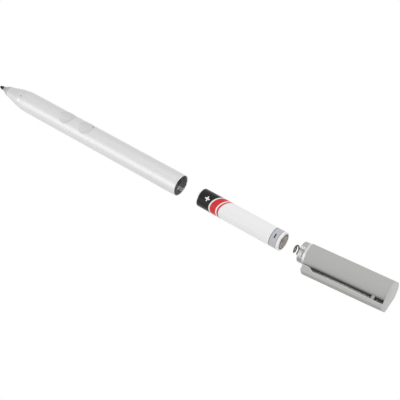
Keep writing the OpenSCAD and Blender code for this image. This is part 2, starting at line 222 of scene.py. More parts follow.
def paint_light_strip(material, angle, full, none, colour, lie=None, rise=None):
    """Paints a strip of painted highlight or painted shade, as its colour gives, into the surface: lays a colour over
    it along the pen, fully within full degrees of an angle round the axis, and falling smoothly to nothing at none
    degrees.
    A point's angle is arctan(Z/Y), taken the short way round, after the turn and shift of its lie. Where a rise is
    given, the strip grows from nothing to full between its two places along the pen."""
    place = node(material, "TexCoord").outputs["Object"]
    place = node(material, "Mapping", {"Vector": place, **(lie or {})}).outputs["Vector"]
    xyz = node(material, "SeparateXYZ", {"Vector": place}).outputs
    off = maths(material, "SUBTRACT", maths(material, "ARCTAN2", xyz["Z"], xyz["Y"]), np.radians(angle))
    off = maths(material, "ABSOLUTE", maths(material, "WRAP", off, np.pi, -np.pi))
    share = spread(material, off, np.radians((full, none)), (1.0, 0.0), smooth=True)
    if rise:
        grown = spread(material, xyz["X"], np.multiply(rise, MM), smooth=True)
        share = maths(material, "MULTIPLY", share, grown)
    lay(material, share, colour)


blasted = dict(rough=(0.45, 0.53), grain=0.35, relief=0.0012, along=3, metal=1.0)
anodised = worked("silver_anodised", (0.75, 0.749, 0.757), (0.79, 0.789, 0.797), **blasted)
polished = worked(
    "polished_band", (0.74, 0.74, 0.745), (0.78, 0.78, 0.785), rough=(0.3, 0.36), grain=0.2, relief=0.0005,
    across=6, metal=1.0
)
# Painted shade: the punch mark's hollow is painted near black on the polished band.
mark_place = np.array([mark_x, nose_r(mark_x) * np.cos(mark_angle), nose_r(mark_x) * np.sin(mark_angle)]) * MM
off_middle = node(polished, "VectorMath", {
    0: node(polished, "TexCoord").outputs["Object"], 1: mark_place.tolist()
}, operation="DISTANCE").outputs["Value"]
mark_painted_shade = spread(polished, off_middle, (0.6 * mark_r * MM, 0.9 * mark_r * MM), (1.0, 0.0), smooth=True)
lay(polished, mark_painted_shade, (0.12, 0.12, 0.12))
turned_bore = worked(
    "turned_bore", (0.34, 0.34, 0.34), (0.42, 0.42, 0.42), rough=(0.38, 0.46), grain=0.12, relief=0.0004,
    across=12, metal=0.7
)
# Painted highlight: a bright strip along the bore, where a lamp's reflection would run.
paint_light_strip(turned_bore, angle=291, full=6, none=17, colour=(0.95, 0.95, 0.94))

# The wall's profile goes along the outside from mouth to seam and back along the bore. The rim's edge is broken, with
# a fine line turned behind it. Round the top, columns are spaced evenly across the pen, so that a square of the grid
# can be drawn in to the circle of each button's hole.
steps = 2 * patch_cells + 1
front_patch, rear_patch = (np.linspace(x + patch_half, x - patch_half, steps) for x in button_xs)
rim_x = [0, -0.02, -0.12, -0.4, -1.55, -1.62, -1.7, -1.78, -1.85]
rim_fall = [0.1, 0.075, 0, 0, 0, 0.008, 0.015, 0.008, 0]
rim_polish, band_x, band_slope = 0.1, -91.0, np.radians(2.0)
seam_ease_x, seam_ease, seam_depth = 0.05, 0.022, 0.07
outer_x = np.concatenate([
    rim_x, np.linspace(-2.4, rear_patch[0], 13)[:-1], rear_patch,
    np.linspace(rear_patch[-1], front_patch[0], 6)[1:-1], front_patch,
    np.linspace(front_patch[-1], nose_arc_x, 9)[1:-1], np.linspace(nose_arc_x, band_x, 8),
    np.linspace(band_x - 0.05, seam_x + 0.12, 14), [seam_x + seam_ease_x, seam_x]
])
outer_wall = nose_r(outer_x)
on_band = outer_x < band_x
outer_wall[on_band] = nose_r(seam_x) + (outer_x[on_band] - seam_x) * np.tan(band_slope)
outer_wall[:len(rim_fall)] -= rim_fall
outer_wall[-3:] -= [0.004, seam_ease, seam_depth]
thread_x = np.linspace(mouth_step_x + 0.05, -lead_len, 72)
inner_x = np.concatenate([
    [seam_x, bore_step_x, bore_step_x], np.linspace(bore_step_x, front_patch[-1], 6)[1:-1], front_patch[::-1],
    np.linspace(front_patch[0], rear_patch[-1], 6)[1:-1], rear_patch[::-1],
    np.linspace(rear_patch[0], mouth_step_x, 14)[1:], [mouth_step_x], thread_x, [0]
])
inner_wall = np.full(len(inner_x), bore_r)
inner_wall[:2] = front_bore_r
inner_wall[-len(thread_x) - 2:-1] = mouth_r
inner_wall[-1] = mouth_r + mouth_lead

across = np.linspace(patch_half, -patch_half, steps)
rest_columns = 104


def column_angles(r):
    """Angles round the pen, from +Y towards +Z: over the top they lie evenly across the pen at radius r, and over
    the rest of the round they are evenly spaced."""
    top = np.arccos(across / r)
    return np.concatenate([top, np.linspace(top[-1], top[0] + 2 * np.pi, rest_columns + 2)[1:-1]])


def tube_wall(x, r, angles, hole):
    """Points (x, r cos a, r sin a) of one side of the wall. In a square about each hole, a point at share m of the
    way from middle to edge moves from its place p to the circle m p/|p|, fully at the hole and not at the edge."""
    x2, r2, a2 = np.broadcast_arrays(x[:, None], r[:, None], angles[None, :])
    flat_x, flat_y = x2.copy(), r2 * np.cos(a2)
    for middle in button_xs:
        u, v = (flat_x[:, :steps] - middle) / patch_half, flat_y[:, :steps] / patch_half
        share = np.maximum(np.abs(u), np.abs(v))
        size = np.maximum(np.hypot(u, v), 1e-9)
        pull = np.clip((1 - share) / (1 - hole_cells / patch_cells), 0, 1)
        reach = share / size * hole / (patch_half * hole_cells / patch_cells)
        flat_x[:, :steps] = middle + patch_half * u * (1 + pull * (reach - 1))
        flat_y[:, :steps] = patch_half * v * (1 + pull * (reach - 1))
    height = np.sqrt(np.maximum(r2 ** 2 - flat_y ** 2, 0)) * np.sign(np.sin(a2))
    return np.stack([flat_x, flat_y, height], axis=-1)


outside = tube_wall(outer_x, outer_wall, column_angles(tube_r), hole_r + hole_edge)
off_mark = np.hypot(outside[..., 0] - mark_x, tube_r * (np.arctan2(outside[..., 2], outside[..., 1]) - mark_angle))
dent = mark_depth * ramp(-off_mark, -mark_r, -0.4 * mark_r)
outside[..., 1:] *= (1 - dent / outer_wall[:, None])[..., None]
bore_angles = column_angles(bore_r)
inside = tube_wall(inner_x, inner_wall, bore_angles, hole_r)
cut_x, cut_a = np.broadcast_arrays(inner_x[:, None], bore_angles[None, :])
cut = thread_depth * thread_form(cut_x, cut_a) * between(cut_x, (mouth_step_x + 0.1, -lead_len), ease=0.3)
inside[..., 1:] *= ((inner_wall[:, None] + cut) / inner_wall[:, None])[..., None]
wall = np.concatenate([outside, inside])
wall_faces = grid_faces(len(wall), wall.shape[1], row_loop=True)
all_x = np.concatenate([outer_x, inner_x])
row_x = (all_x + np.roll(all_x, -1)) / 2
in_hole = np.zeros(wall_faces.shape[:2], bool)
for middle in button_xs:
    near = np.abs(row_x - middle) < patch_half * hole_cells / patch_cells
    in_hole[np.ix_(near, np.arange(patch_cells - hole_cells, patch_cells + hole_cells))] = True
is_outer = np.arange(len(wall)) < len(outer_x)
row_finish = np.where(is_outer, (row_x < band_x).astype(int), 2)
row_finish[row_x > np.where(is_outer, -rim_polish, -lead_len)] = 1
wall_finish = np.broadcast_to(row_finish[:, None], in_hole.shape)

# The holes' own walls stand straight up between the two sides, with a small round at the outer edge.
run, far = np.arange(-hole_cells, hole_cells), np.full(2 * hole_cells, hole_cells)
edge_u, edge_v = np.concatenate([run, far, -run, -far]), np.concatenate([-far, run, far, -run])
edge_size = np.hypot(edge_u, edge_v)
hole_rows = np.array([(hole_edge, tube_r), (0.01, tube_r - 0.01), (0, tube_r - 0.04), (0, bore_r)])


def hole_wall(middle):
    """A hole's wall: circles of radius hole_r plus a small round, each laid on a cylinder about the pen's axis."""
    x = middle + (hole_r + hole_rows[:, :1]) * edge_u / edge_size
    y = (hole_r + hole_rows[:, :1]) * edge_v / edge_size
    points = np.stack([x, y, np.sqrt(hole_rows[:, 1:] ** 2 - y ** 2)], axis=-1)
    return points, grid_faces(len(hole_rows), len(edge_u))


tube_points, tube_faces = join((wall, wall_faces[~in_hole]), *(hole_wall(middle) for middle in button_xs))
tube_finish = np.zeros(len(tube_faces), int)
tube_finish[:np.sum(~in_hole)] = wall_finish[~in_hole]
make_piece(
    "drawn_tube", (tube_points, tube_faces), [anodised, polished, turned_bore], "barrel", "barrel_metal",
    "barrel_tube", tube_finish
)


# Nose. A turned and anodised aluminium plug, glued into the tube's front end with a fine seam, that carries the
# barrel's arc on into a cone down to the collar and is bored out for the rod and its guide.
nose_front_x, nose_plug_x, nose_bore_r, rod_bore_r = -102.6, -88, 3.2, 1.35
tip_ring_x, tip_ring_half, tip_ring_depth = -100.5, 0.02, 0.03


def rounded(profile, size, turns=4):
    """A profile with its inner corners eased: each corner P is cut back by size along both sides, to A and B, and
    the two are joined by the curve (1-t)^2 A + 2t(1-t) P + t^2 B."""
    p = np.asarray(profile, float)
    before, after = p[:-2] - p[1:-1], p[2:] - p[1:-1]
    a = p[1:-1] + before * np.minimum(size / np.linalg.norm(before, axis=1, keepdims=True), 0.45)
    b = p[1:-1] + after * np.minimum(size / np.linalg.norm(after, axis=1, keepdims=True), 0.45)
    t = np.linspace(0, 1, turns + 1)[None, :, None]
    eased = (1 - t) ** 2 * a[:, None] + 2 * t * (1 - t) * p[1:-1, None] + t ** 2 * b[:, None]
    return np.vstack([p[:1], eased.reshape(-1, 2), p[-1:]])


def full_turn(columns):
    """Even angles of a full turn, as a row."""
    return np.linspace(0, 2 * np.pi, columns, endpoint=False)[None, :]


def turned(profile, columns=144, closed=False):
    """A turned shell: every profile point (x, r) is carried round the axis as (x, r cos a, r sin a)."""
    x, r = np.asarray(profile, float).T[:, :, None]
    a = full_turn(columns)
    points = np.stack(np.broadcast_arrays(x, r * np.cos(a), r * np.sin(a)), axis=-1)
    return points, grid_faces(len(points), columns, row_loop=closed)


nose_x = np.concatenate([
    np.linspace(seam_x - 0.12, tip_ring_x + 0.1, 24), [tip_ring_x + tip_ring_half, tip_ring_x - tip_ring_half],
    np.linspace(tip_ring_x - 0.1, nose_front_x + 0.3, 6)
])
nose_wall = nose_r(nose_x)
nose_wall[np.abs(nose_x - tip_ring_x) < 2 * tip_ring_half] -= tip_ring_depth
nose_line = np.vstack([
    [(nose_plug_x, nose_bore_r), (nose_plug_x, front_bore_r), (seam_x, front_bore_r)],
    [(seam_x, nose_r(seam_x) - seam_depth), (seam_x - seam_ease_x, nose_r(seam_x - seam_ease_x) - seam_ease)],
    np.stack([nose_x, nose_wall], axis=1),
    [(nose_front_x + 0.1, nose_r(nose_front_x) - 0.06), (nose_front_x, nose_r(nose_front_x) - 0.25)],
    [(nose_front_x, rod_bore_r), (-101, rod_bore_r), (-101, 1.75), (-95, nose_bore_r)]
])
nose_skin, nose_faces = turned(nose_line, closed=True)
turned_tip = worked(
    "turned_tip", (0.56, 0.56, 0.56), (0.63, 0.63, 0.63), rough=(0.38, 0.48), grain=0.12, relief=0.0008,
    across=12, metal=1.0
)
on_tip = np.broadcast_to((nose_line[:, 0] < tip_ring_x + 0.1)[:, None], nose_faces.shape[:2])
make_piece(
    "turned_nose", (nose_skin, nose_faces), [anodised, turned_tip], "barrel", "barrel_metal", "nose_cone", on_tip
)


# Tip collar. A small turned steel bush, pressed into the nose, in which the nib slides. Outside, its cone carries the
# nose's line on towards the nib.
collar_line = rounded([
    (-103.4, 0.92), (-104.3, 0.92), (-104.3, 1.05), (-102.75, 1.62), (-102.75, rod_bore_r), (-101.1, rod_bore_r),
    (-101.1, 0.92), (-103.4, 0.92)
], size=0.06)
collar_steel = worked(
    "collar_steel", (0.42, 0.42, 0.423), (0.54, 0.54, 0.543), rough=(0.28, 0.4), grain=0.12, relief=0.001,
    across=12, metal=1.0
)
make_piece("turned_collar", turned(collar_line, 96), [collar_steel], "barrel", "collar_metal", "tip_collar")


# Nib. A replaceable tip of hard black plastic, turned to a blunt point, with a thin stem that is pushed into the
# rod behind it.
nib_line = [
    (-107.1, 0), (-107.092, 0.1), (-107.06, 0.21), (-107.0, 0.3), (-106.9, 0.4), (-106.65, 0.53), (-106.3, 0.67),
    (-105.9, 0.76), (-105.5, 0.83), (-105.2, 0.848), (-104.9, 0.85), (-99.4, 0.85), (-99.4, 0.6), (-93.9, 0.6),
    (-93.9, 0)
]
nib_black = worked(
    "nib_black", (0.008, 0.008, 0.009), (0.018, 0.018, 0.019), rough=(0.45, 0.6), grain=0.2, relief=0.002,
    along=3, specular=0.25
)
make_piece("black_nib", turned(nib_line, 64), [nib_black], "nib", "nib_plastic", "nib")


# Rod and its guide. The nib's rod is moulded in dark plastic, with a flange for its spring, and runs in a pale
# slippery bush that is pressed into the nose.
def dress(material, *names):
    """Puts a material on the solids of these names."""
    for name in names:
        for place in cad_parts[name].material_slots:
            place.material = material


dark_moulding = worked(
    "dark_moulding", (0.04, 0.04, 0.042), (0.065, 0.065, 0.067), rough=(0.45, 0.6), grain=0.3, relief=0.004
)
slippery_moulding = worked(
    "slippery_moulding", (0.7, 0.69, 0.65), (0.8, 0.79, 0.75), rough=(0.3, 0.42), grain=0.5, relief=0.003,
    along=2
)
dress(dark_moulding, "nib_holder")
dress(slippery_moulding, "guide_bush")


# Nib spring. Thin spring wire, wound at even pitch, between the rod's flange and the pressure sensor. In the pen it
# shortens as the nib is pressed in; here it is one fixed coil that rides with the barrel.
def coil(x0, x1, r0, r1, winds, wire_r, flat=0.0, hand=1, sides=12, per_turn=40):
    """A round wire swept along a coil: after u turns its middle lies at angle 2 pi u, right- or left-handed, and at a
    radius that goes evenly from r0 to r1, and it climbs evenly from x0 to x1 after its flat turns. The section stands
    square to the path, and both ends are eased and closed to a point."""
    u = np.linspace(0, winds, int(winds * per_turn) + 1)
    first = wire_r if flat else 0.0
    climb = (u - flat) / (winds - flat)
    x = np.where(u < flat, first * u / max(flat, 1e-9), first + (x1 - x0 - first) * climb) + x0
    r, a = r0 + (r1 - r0) * u / winds, hand * 2 * np.pi * u
    path = np.stack([x, r * np.cos(a), r * np.sin(a)], axis=1)
    along = np.gradient(path, axis=0)
    along /= np.linalg.norm(along, axis=1, keepdims=True)
    out = np.stack([np.zeros_like(a), np.cos(a), np.sin(a)], axis=1)
    out -= np.sum(out * along, axis=1, keepdims=True) * along
    out /= np.linalg.norm(out, axis=1, keepdims=True)
    side = np.cross(along, out)
    ends = [0, 0, *range(len(u)), len(u) - 1, len(u) - 1]
    end_share, end_ease = 0.8, 0.04
    size = np.full(len(ends), wire_r)
    size[[0, 1, -2, -1]] = [0, end_share * wire_r, end_share * wire_r, 0]
    slide = np.zeros(len(ends))
    slide[[2, -3]] = [end_ease, -end_ease]
    b = full_turn(sides)[..., None]
    ring = out[ends][:, None] * np.cos(b) + side[ends][:, None] * np.sin(b)
    points = (path[ends] + along[ends] * slide[:, None])[:, None] + size[:, None, None] * ring
    return points, grid_faces(len(ends), sides)


drawn_wire = worked(
    "drawn_wire", (0.13, 0.115, 0.1), (0.27, 0.24, 0.215), rough=(0.2, 0.32), grain=0.15, relief=0.001,
    across=4, metal=1.0
)
rod_spring_skin = coil(x0=-92.42, x1=-89.08, r0=1.55, r1=1.55, winds=4.5, wire_r=0.15)
rod_spring = make_piece("rod_spring", rod_spring_skin, [drawn_wire], "barrel", "spring_steel", "nib_spring", sharp=60)
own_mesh(rod_spring)


# Electronics. A moulded half-round tray carries the sensor and a narrow laminate board with a green solder mask;
# two screws hold the board, and chip, ceramic parts, switches and contact leaf are soldered to it.
solder_mask = worked(
    "solder_mask", (0.012, 0.09, 0.045), (0.02, 0.15, 0.075), rough=(0.25, 0.4), grain=0.5, relief=0.004,
    along=6
)
surface(solder_mask)["Coat Weight"].default_value = 0.3
board_place = node(solder_mask, "TexCoord").outputs["Object"]
board_place = node(solder_mask, "Mapping", {"Vector": board_place, "Scale": (900, 900, 900)}).outputs["Vector"]
tracks = node(solder_mask, "TexBrick", {
    "Vector": board_place, "Color1": (0.012, 0.1, 0.05, 1), "Color2": (0.02, 0.13, 0.065, 1),
    "Mortar": (0.07, 0.28, 0.12, 1), "Scale": 1.0, "Mortar Size": 0.06, "Brick Width": 2.4, "Row Height": 0.7
})
drive(solder_mask, "Base Color", tracks.outputs["Color"])
stamped_brass = worked(
    "stamped_brass", (0.55, 0.4, 0.16), (0.72, 0.55, 0.26), rough=(0.2, 0.36), grain=0.4, relief=0.002,
    along=4, metal=1.0
)
dress(slippery_moulding, "inner_tray", "contact_insulator")
dress(dark_moulding, "pressure_sensor", "front_switch", "rear_switch")
dress(solder_mask, "circuit_board")
dress(stamped_brass, "ground_contact", "positive_contact")
dress(worked(
    "chip_moulding", (0.014, 0.014, 0.014), (0.03, 0.03, 0.03), rough=(0.5, 0.7), grain=0.12, relief=0.003
), "control_chip", "front_plunger", "rear_plunger")
dress(worked(
    "fired_ceramic", (0.42, 0.33, 0.22), (0.58, 0.47, 0.34), rough=(0.5, 0.7), grain=0.2, relief=0.003
), "board_parts")
dress(worked(
    "zinc_plate", (0.45, 0.45, 0.47), (0.65, 0.65, 0.66), rough=(0.25, 0.4), grain=0.2, relief=0.002,
    upright=8, metal=1.0
), "board_screws")
dress(worked(
    "printed_film", (0.4, 0.17, 0.03), (0.55, 0.27, 0.07), rough=(0.25, 0.35), grain=0.6, relief=0.001,
    along=8
), "sensor_flex")


# Side buttons. Two round keys of the barrel's aluminium, a little flatter than it is, fill its holes; their finish is a
# darker copy of the barrel's, painted shade. A lip inside the wall keeps each captive, and a stem under it presses a
# switch.
# Both are dished, and the rear has a small dimple whose hollow is painted dark as painted shade.
key_r, key_skirt_z, key_hollow_r = 3.5, 2.55, 3.5
key_stem_r, key_stem_z, key_stem_top = 0.9, 2.2, 3.7
key_top_r, key_top_low, key_edge, key_fall = 5.4, 3.9, 0.12, 0.02
dish_in, dish_out, front_dish, rear_dish = 2.4, 3.2, 0.22, 0.12
eye_x, eye_y, eye_r, eye_depth = 2.4, 1.6, 0.5, 0.12
key_lip_x, key_lip_y, key_lip_r = 4.1, 2.4, 4.2
top_rings, edge_rings = 40, 7


def key_shell(middle, dish, eye):
    """A key as one closed skin of rings. The top is a disc laid on a cylinder that touches the barrel's top. It is
    sunk with a smooth flank from dish_out to dish_in, by nothing towards -X +Y and by dish towards +X -Y. Its edge
    falls as a quarter of an ellipse, and its eye is hollowed by 1 - (e/eye_r)^2 at distance e from the eye's middle.
    Then come the skirt's outside, its lower edge, and the hollow underside, a disc laid on a smaller cylinder."""
    a = full_turn(128)
    past = np.concatenate([np.zeros(top_rings), np.sin(np.linspace(0, np.pi / 2, edge_rings + 1)[1:])])[:, None]
    flat_r = key_r - key_edge
    d = np.concatenate([np.linspace(0, flat_r, top_rings), np.full(edge_rings, flat_r)])[:, None] + key_edge * past
    x, y = d * np.cos(a), d * np.sin(a)
    z = tube_r - key_top_r + np.sqrt(key_top_r ** 2 - y ** 2)
    z -= dish * ramp(-d, -dish_out, -dish_in) * (1 + (x - y) / (np.sqrt(2) * dish_out)) / 2
    z -= key_fall * (1 - np.sqrt(np.maximum(1 - past ** 2, 0)))
    z -= eye * np.clip(1 - ((x - eye_x) ** 2 + (y - eye_y) ** 2) / eye_r ** 2, 0, 1)
    under = np.array([key_r, 3.3, 2.8, 2.2, 1.5, 0.8, 0])[:, None]
    ux, uy = under * np.cos(a), under * np.sin(a)
    uz = np.maximum(np.sqrt(np.maximum(key_hollow_r ** 2 - uy ** 2, 0)), key_skirt_z)
    points = np.concatenate([np.stack([x, y, z], -1), np.stack([ux, uy, uz], -1)]) + [middle, 0, 0]
    return points, grid_faces(len(points), a.size)


def key_lip(middle):
    """The captive lip: a squared-off oval (x/key_lip_x)^4 + (y/key_lip_y)^4 = 1 between two cylinders under the bore,
    as rings that go out along the top, round the edge and back along the underside."""
    a = full_turn(96)
    share = np.array([0, 0.5, 0.8, 0.96, 1.0, 1.0, 0.96, 0.8, 0.5, 0])[:, None]
    r = np.array([key_lip_r] * 4 + [key_lip_r - 0.08, key_hollow_r + 0.1] + [key_hollow_r] * 4)[:, None]
    fold = (np.abs(np.cos(a)) ** 4 + np.abs(np.sin(a)) ** 4) ** -0.25
    x, y = share * key_lip_x * fold * np.cos(a), share * key_lip_y * fold * np.sin(a)
    points = np.stack(np.broadcast_arrays(x + middle, y, np.sqrt(r ** 2 - y ** 2)), axis=-1)
    return points, grid_faces(len(points), a.size)


def key_stem(middle):
    """The stem: a turned peg with eased ends, stood upright under the key."""
    line = [(key_stem_z, 0), (key_stem_z, key_stem_r), (key_stem_top, key_stem_r), (key_stem_top, 0)]
    points, faces = turned(rounded(line, size=0.1), 48)
    return np.stack([points[..., 1] + middle, points[..., 2], points[..., 0]], axis=-1), faces


# Painted shade: the keys' finish is a darker copy of the barrel's.
key_shade_painted_anodised = worked("key_shade_painted_anodised", (0.697, 0.696, 0.703), (0.737, 0.736, 0.743), **blasted)
for name, middle, dish, eye in (("front", button_xs[0], front_dish, 0.0), ("rear", button_xs[1], rear_dish, eye_depth)):
    key_points, key_faces = join(key_shell(middle, dish, eye), key_lip(middle), key_stem(middle))
    face_middles = key_points[key_faces].mean(axis=1) - [middle, 0, 0]
    # Painted shade: the faces in the rear key's dimple take the dark moulding.
    eye_shade_area = np.hypot(face_middles[:, 0] - eye_x, face_middles[:, 1] - eye_y) < 0.7 * eye_r
    eye_painted_shade = eye_shade_area & (face_middles[:, 2] > key_top_low) & (eye > 0)
    make_piece(
        name + "_key", (key_points, key_faces), [key_shade_painted_anodised, dark_moulding], name + "_button", "button_metal",
        name + "_button", eye_painted_shade
    )


# Cell can. Nickel-plated steel, deep drawn in one piece with the positive nub, and rolled in over the seal at the
# other end. Its filling is pressed powder.
nub_x, nub_r, can_x, can_floor_x, can_end_x = 10.5, 1.8, 11.05, 11.3, 52.9
can_r, can_inner_r, crimp_x, crimp_r = 4.0, 3.75, 52.65, 3.4
nickel_plate = worked(
    "nickel_plate", (0.62, 0.61, 0.6), (0.76, 0.75, 0.74), rough=(0.2, 0.34), grain=0.25, relief=0.001,
    across=10, metal=1.0
)
can_line = np.vstack([
    [(nub_x, 0)],
    rounded([
        (nub_x, 1.0), (nub_x, nub_r), (can_x, nub_r), (can_x, can_r), (can_end_x, can_r), (can_end_x, crimp_r),
        (crimp_x, crimp_r), (crimp_x, can_inner_r), (can_floor_x, can_inner_r), (can_floor_x, 1.0)
    ], size=0.25),
    [(can_floor_x, 0)]
])
make_piece("drawn_can", turned(can_line), [nickel_plate], "battery", "can_steel", "battery_can")
dress(worked(
    "pressed_powder", (0.04, 0.04, 0.04), (0.085, 0.083, 0.08), rough=(0.75, 0.9), grain=0.15, relief=0.01
), "cell_filling")


# Cell sleeve. A shrunk film, printed with a plain design: a black end with a white plus, slanted red and white
# stripes, a white body, and a silver end with grey-blue lines and a dark minus.
sleeve_x, sleeve_end_x, sleeve_r = 11.45, 52.7, 4.1


def ring_line(start_x, x0, x1, r0, r1, size):
    """Profile of a plain ring: from start_x along its side at r0 to x0, across to r1, along to x1 and back, with its
    corners eased by size."""
    return rounded([(start_x, r0), (x0, r0), (x0, r1), (x1, r1), (x1, r0), (start_x, r0)], size)


film = worked(
    "printed_sleeve", (0.8, 0.8, 0.8), (0.85, 0.85, 0.85), rough=(0.2, 0.28), grain=1.2, relief=0.0015,
    along=4, specular=0.2
)
surface(film)["Coat Weight"].default_value = 0.08
surface(film)["Coat Roughness"].default_value = 0.1
black, white, red, silver, line_blue = (
    (0.009, 0.009, 0.01), (0.86, 0.86, 0.86), (0.64, 0.03, 0.036), (0.52, 0.52, 0.54), (0.16, 0.19, 0.28)
)
slant_y, slant_z, tail_share = -0.55, 0.25, 0.885
plus_x, minus_x, print_angle = 15.6, 49.9, 120
xyz = node(film, "SeparateXYZ", {"Vector": node(film, "TexCoord").outputs["Object"]}).outputs
slant = maths(film, "MULTIPLY_ADD", xyz["Y"], slant_y, maths(film, "MULTIPLY_ADD", xyz["Z"], slant_z, xyz["X"]))
slanted, straight = (spread(film, along, (sleeve_x * MM, sleeve_end_x * MM)) for along in (slant, xyz["X"]))
stripes = colour_ramp(film, slanted, [
    (0.0, black), (0.205, white), (0.222, red), (0.29, white), (0.305, red), (0.325, white)
], "CONSTANT")
tail = colour_ramp(film, straight, [
    (0.0, white), (tail_share, line_blue), (0.893, silver), (0.965, line_blue), (0.972, white)
], "CONSTANT")
in_tail = maths(film, "GREATER_THAN", straight, tail_share)


def bar_mark(x_middle, half_x, half_round):
    """1 inside a small bar on the sleeve, about a place along it and the print's angle round it, else 0."""
    angle = maths(film, "ARCTAN2", xyz["Z"], xyz["Y"])
    near_x = maths(film, "COMPARE", xyz["X"], x_middle * MM, half_x * MM)
    near_round = maths(film, "COMPARE", angle, np.radians(print_angle), half_round / sleeve_r)
    return maths(film, "MULTIPLY", near_x, near_round)


def greatest(material, first, *others):
    """The greatest of several values of a material."""
    for other in others:
        first = maths(material, "MAXIMUM", first, other)
    return first


plus = greatest(film, bar_mark(plus_x, 1.1, 0.3), bar_mark(plus_x, 0.3, 1.1))
minus = bar_mark(minus_x, 0.28, 1.0)
print_colour = over(film, minus, over(film, plus, over(film, in_tail, stripes, tail), (*white, 1)), (*black, 1))
drive(film, "Base Color", print_colour)
sleeve_line = ring_line(30, sleeve_x, sleeve_end_x, can_r, sleeve_r, size=0.05)
make_piece("film_sleeve", turned(sleeve_line), [film], "battery", "jacket_film", "battery_jacket")


# Cell seal and base. A moulded ring, held by the can's rolled edge, insulates the pressed steel end plate from the
# can. The plate is the negative pole, and handling has stained its nickel.
seal_x, seal_r, base_x = 52.05, 3.0, 53.0
seal_line = rounded([
    (52.3, seal_r), (52.85, seal_r), (52.85, crimp_r), (crimp_x, crimp_r), (crimp_x, can_inner_r),
    (seal_x, can_inner_r), (seal_x, seal_r), (52.3, seal_r)
], size=0.05)
make_piece("moulded_seal", turned(seal_line), [dark_moulding], "battery", "dark_plastic", "battery_seal")
base_line = np.vstack([
    [(base_x, 0), (base_x, 1.2)],
    rounded([
        (base_x, 1.6), (52.93, 1.75), (52.93, 2.3), (base_x, 2.45), (base_x, 2.7), (52.8, seal_r), (seal_x, seal_r)
    ], size=0.08),
    [(seal_x, 0)]
])
worn_nickel = worked(
    "worn_nickel", (0.13, 0.11, 0.095), (0.42, 0.385, 0.35), rough=(0.28, 0.45), grain=1.1, relief=0.002, metal=1.0
)
make_piece("pressed_base", turned(base_line), [worn_nickel], "battery", "can_steel", "battery_base")


# Contact spring. A short conical coil of dark spring wire that meets the cell's flat end; it sits on a brass disc
# and lies askew with the rest of the cap.
swing_x, lean = 60.5, np.radians(5.0)
spring_foot_x, disc_x, disc_end_x, disc_r = 62.3, 62.35, 62.85, 2.95


def askew(points):
    """Points of the cap, turned by its lean about an upright line through its spring."""
    x, y = points[..., 0] - swing_x, points[..., 1]
    turned_x, turned_y = np.cos(lean) * x - np.sin(lean) * y, np.sin(lean) * x + np.cos(lean) * y
    return np.stack([swing_x + turned_x, turned_y, points[..., 2]], axis=-1)


def cap_piece(name, skin, *rest, **more):
    """A piece of the cap, made straight and then turned by the cap's lean."""
    points, faces = skin
    return make_piece(name, (askew(points), faces), *rest, **more)


spring_skin = coil(
    x0=58.55, x1=62.02, r0=1.45, r1=2.0, winds=2.25, wire_r=0.3, flat=0.75, hand=-1, sides=16, per_turn=48
)
cell_spring = cap_piece(
    "cell_spring", spring_skin, [drawn_wire], "contact_spring", "spring_steel", "contact_spring", sharp=60
)
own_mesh(cell_spring)
disc_line = rounded([(disc_x, 0), (disc_x, disc_r), (disc_end_x, disc_r), (disc_end_x, 0)], size=0.08)
cap_piece("spring_disc", turned(disc_line, 96), [stamped_brass], "contact_plate", "contact_brass", "contact_plate")


# Cap neck. A turned aluminium plug with a screw thread, a grey locating lug on top, a bright bevelled shoulder and a
# chamber for the contact; it is pressed into the cap's tube. A moulded ring keeps the brass disc in its chamber.
neck_x, shoulder_x, shell_x, chamber_x, neck_end_x = 61.5, 63.7, 65.0, 62.2, 70.3
neck_core_r, neck_root_r, neck_thread_r, chamber_r, neck_hole_r, shell_bore_r = 4.25, 4.33, 4.47, 3.4, 2.0, 4.05
lug_r, lug_lead, lug_lead_len, keeper_r = 4.46, 0.15, 0.25, 2.7
lug_from, lug_to, lug_flank = np.radians((20, 95, 6))
undercut_x, undercut_arc, slot_arc, cut_r = (63.28, 63.68), (112, 158), (114, 125), 4.12
bevel_x, bevel_end_x, bevel_low_r = 64.0, 64.8, 4.5
neck_edge = 0.1
neck_rows = np.concatenate([
    [neck_x, neck_x + 0.03, neck_x + neck_edge], np.linspace(neck_x + 0.14, shoulder_x, 72)
])[:, None]
neck_angles = full_turn(192)
thread_fade = ramp(neck_rows, neck_x + 0.1, neck_x + 0.45) * ramp(-neck_rows, -shoulder_x + 0.05, -shoulder_x + 0.3)
turns_up = thread_form(neck_rows, neck_angles)
on_lug = between(neck_angles, (lug_from - lug_flank, lug_to + lug_flank), ease=lug_flank)
thread_r = neck_root_r + (neck_thread_r - neck_root_r) * thread_fade * turns_up
undercut = between(neck_rows, undercut_x, ease=0.1) * between(neck_angles, np.radians(undercut_arc), ease=0.05)
slot = between(neck_angles, np.radians(slot_arc), ease=0.05) * ramp(-neck_rows, -undercut_x[1], -undercut_x[1] + 0.1)
cuts = np.maximum(undercut, slot)
thread_r = thread_r + (cut_r - thread_r) * cuts
lug_wall = lug_r - lug_lead * (1 - ramp(neck_rows, neck_x, neck_x + lug_lead_len))
neck_wall = thread_r + (lug_wall - thread_r) * on_lug - neck_edge * (1 - ramp(neck_rows, neck_x, neck_x + neck_edge))
neck_skin = np.stack(np.broadcast_arrays(
    neck_rows, neck_wall * np.cos(neck_angles), neck_wall * np.sin(neck_angles)
), axis=-1)
shoulder_line = rounded([
    (shoulder_x, neck_core_r), (shoulder_x, bevel_low_r), (bevel_x, 4.582), (bevel_end_x, tube_r), (64.94, tube_r),
    (shell_x, tube_r - 0.06), (shell_x, shell_bore_r), (neck_end_x, shell_bore_r), (neck_end_x, neck_hole_r),
    (63, neck_hole_r), (63, 3.1), (chamber_x, 3.1), (chamber_x, chamber_r), (neck_x, chamber_r),
    (neck_x, neck_core_r - 0.1)
], size=0.05)
